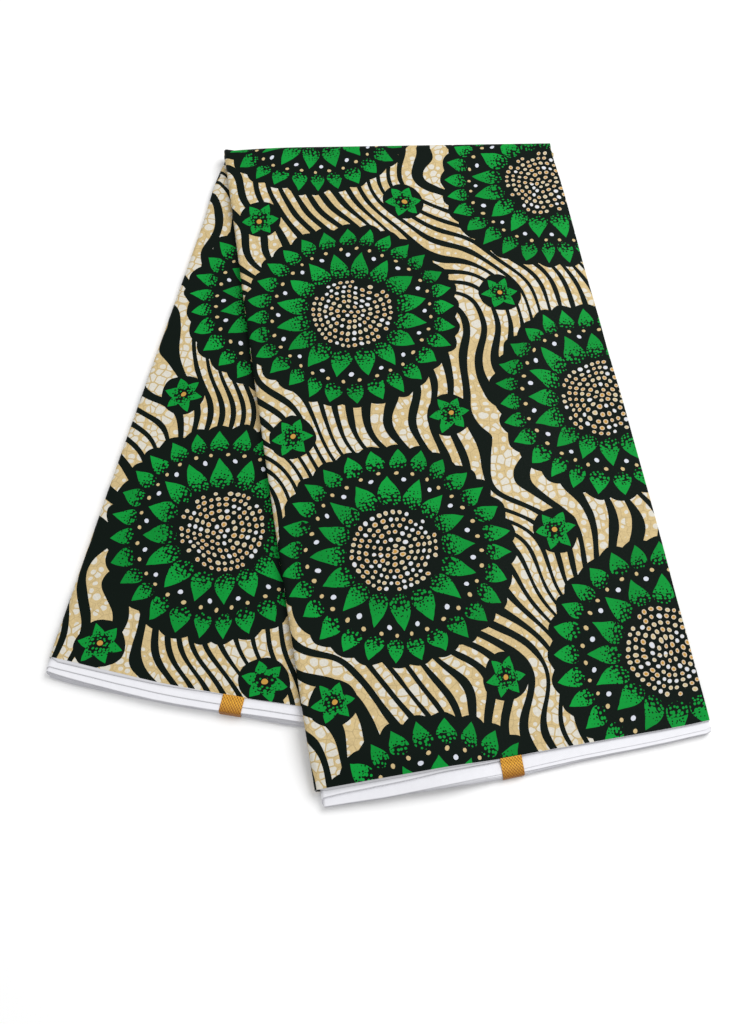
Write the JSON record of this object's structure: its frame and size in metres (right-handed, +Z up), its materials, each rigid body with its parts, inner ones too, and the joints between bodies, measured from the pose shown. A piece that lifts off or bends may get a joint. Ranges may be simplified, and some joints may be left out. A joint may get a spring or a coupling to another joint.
{
  "type": "folded ankara fabric",
  "caption": "Length of wax-print cotton folded into a strip, folded once across and laid flat, one leg lying over the other in a V, with white selvedge ends and woven tabs.",
  "frame": {"origin": "centre of the bounding box, on the surface the cloth lies on", "axes": "+Z up through the layers; +Y towards the fold across, which runs along X; +X towards the right edge of the front leg"},
  "size_m": [0.5079, 0.6138, 0.017],
  "materials": {
    "printed_cotton": "plain-weave cotton with a wax-resist print, lightly calendered",
    "white_cotton": "plain-weave cotton, unprinted",
    "gold_twill": "herringbone twill tape, satin"
  },
  "bodies": {
    "root": {"back_folds": "white_cotton", "back_leaf": "printed_cotton", "back_selvedge_lower": "white_cotton", "back_selvedge_upper": "white_cotton", "back_tab": "gold_twill", "front_folds": "white_cotton", "front_leaf": "printed_cotton", "front_selvedge_lower": "white_cotton", "front_selvedge_middle": "white_cotton", "front_selvedge_upper": "white_cotton", "front_tab": "gold_twill"}
  },
  "joints": []
}
